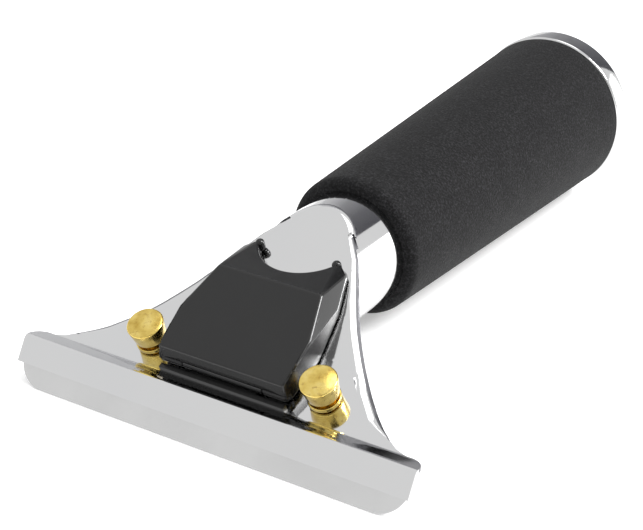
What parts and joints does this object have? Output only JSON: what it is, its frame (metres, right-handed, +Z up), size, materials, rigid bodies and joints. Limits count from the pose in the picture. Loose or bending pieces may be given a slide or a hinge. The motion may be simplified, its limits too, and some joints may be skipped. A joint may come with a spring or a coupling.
{
  "type": "razor blade scraper",
  "caption": "Hand scraper with a fishtail head that clamps a wide razor blade, a lift clip, brass plungers that open the clamp, and a foam grip with a pole socket.",
  "frame": {"origin": "centre of the bounding box's bottom face: the surface on which the tool lies on its blade and its end cap", "axes": "+Y from the blade to the end cap, along the level handle axis; X across the blade; +Z up"},
  "size_m": [0.106, 0.1772, 0.0448],
  "materials": {
    "polished_sheet": "mirror polished stainless sheet",
    "polished_neck": "mirror polished",
    "polished_cap": "polished, turned",
    "blade_steel": "fine ground",
    "plain_steel": "satin",
    "tube_alloy": "drawn",
    "black_foam": "matt closed-cell foam",
    "black_plastic": "satin black",
    "socket_plastic": "matt black",
    "brass": "turned, lightly worn"
  },
  "bodies": {
    "head": {"wing_sheet": "polished_sheet", "neck_casting": "polished_neck", "core_tube": "tube_alloy", "grip_sleeve": "black_foam", "end_cap": "polished_cap", "pole_socket": "socket_plastic", "jaw_pin": "plain_steel", "left_bushing": "brass", "right_bushing": "brass", "left_plunger_spring": "plain_steel", "right_plunger_spring": "plain_steel", "clip_bracket": "black_plastic", "bracket_screws": "plain_steel", "clip_pin": "plain_steel"},
    "clamp": {"clamp_plate": "plain_steel"},
    "blade": {"razor_blade": "blade_steel"},
    "left_plunger": {"left_plunger": "brass", "left_retaining_ring": "plain_steel"},
    "right_plunger": {"right_plunger": "brass", "right_retaining_ring": "plain_steel"},
    "clip": {"clip_lever": "black_plastic"}
  },
  "joints": [
    {"name": "left_plunger_pull", "type": "slide", "parent": "head", "child": "left_plunger", "axis": [0, -0.4226, 0.9063], "range_m": [0, 0.0012], "stiffness_N_per_m": 400, "springref_m": -0.002, "deforming": ["left_plunger_spring"]},
    {"name": "right_plunger_pull", "type": "slide", "parent": "head", "child": "right_plunger", "axis": [0, -0.4226, 0.9063], "range_m": [0, 0.0012], "stiffness_N_per_m": 400, "springref_m": -0.002, "deforming": ["right_plunger_spring"]},
    {"name": "clamp_swing", "type": "hinge", "parent": "head", "child": "clamp", "pos_m": [0, -0.07953, 0.0064], "axis": [1, 0, 0], "range_deg": [0, 9.2]},
    {"name": "blade_slide", "type": "slide", "parent": "head", "child": "blade", "axis": [1, 0, 0], "range_m": [0, 0.108]},
    {"name": "clip_lift", "type": "hinge", "parent": "head", "child": "clip", "pos_m": [0, -0.07684, 0.013], "axis": [1, 0, 0], "range_deg": [0, 40]}
  ],
  "couplings": [
    {"joint": "right_plunger_pull", "follows": "left_plunger_pull", "ratio": 1},
    {"joint": "clamp_swing", "follows": "left_plunger_pull", "rad_per_m": 130.9}
  ]
}
